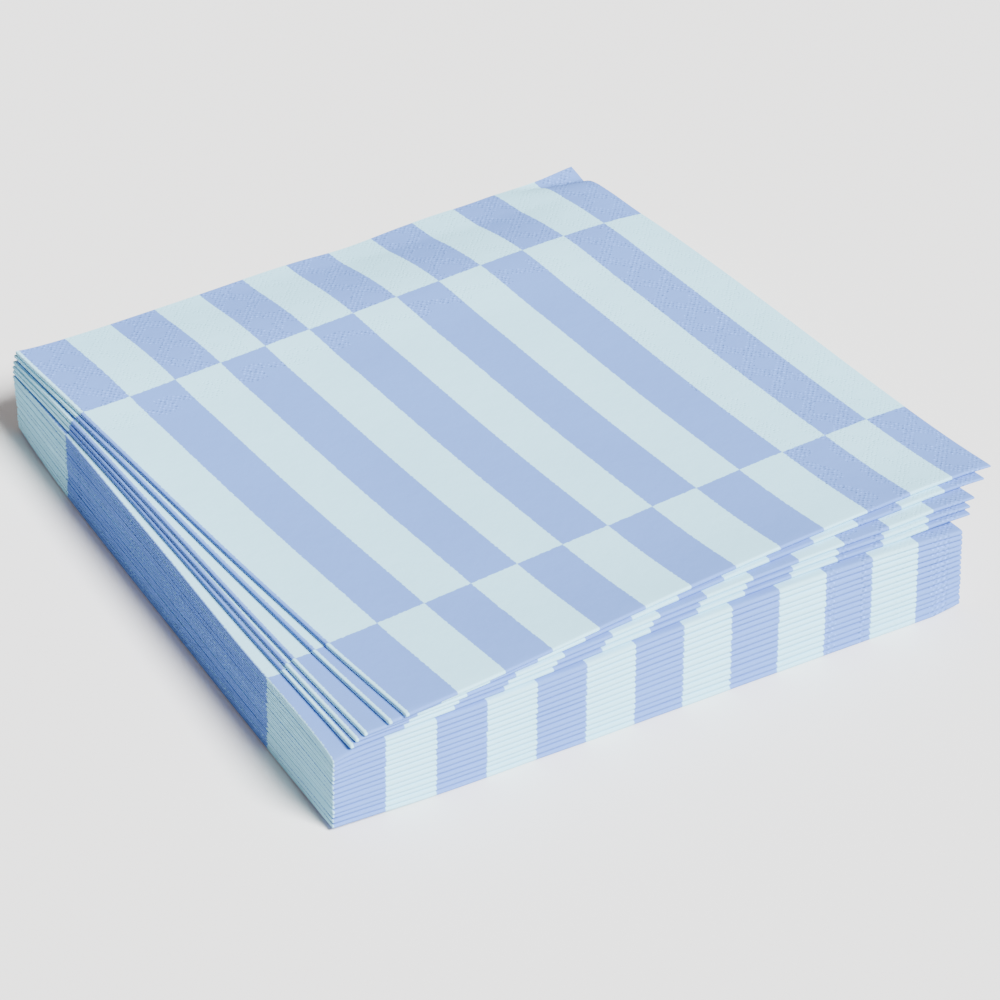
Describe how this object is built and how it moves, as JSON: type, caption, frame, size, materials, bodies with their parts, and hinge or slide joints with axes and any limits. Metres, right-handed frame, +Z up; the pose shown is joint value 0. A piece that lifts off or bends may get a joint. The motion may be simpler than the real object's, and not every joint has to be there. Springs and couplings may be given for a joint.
{
  "type": "stack of paper napkins",
  "caption": "Stack of square paper napkins folded in quarters, striped in soft blue and pale mint, with the topmost ones fanned round one corner.",
  "frame": {"origin": "centre of the underside of the bottom napkin, on the table", "axes": "+Z up from the table; +X along the front edge, away from the first folds; +Y from the front edge, where the second folds are, to the open back edge"},
  "size_m": [0.1811, 0.1809, 0.0271],
  "materials": {
    "tissue": "matte"
  },
  "bodies": {
    "root": {"napkin_01": "tissue", "napkin_02": "tissue", "napkin_03": "tissue", "napkin_04": "tissue", "napkin_05": "tissue", "napkin_06": "tissue", "napkin_07": "tissue", "napkin_08": "tissue", "napkin_09": "tissue", "napkin_10": "tissue", "napkin_11": "tissue", "napkin_12": "tissue", "napkin_13": "tissue", "napkin_14": "tissue", "napkin_15": "tissue", "napkin_16": "tissue", "napkin_17": "tissue", "napkin_18": "tissue", "napkin_19": "tissue", "napkin_20": "tissue"}
  },
  "joints": []
}
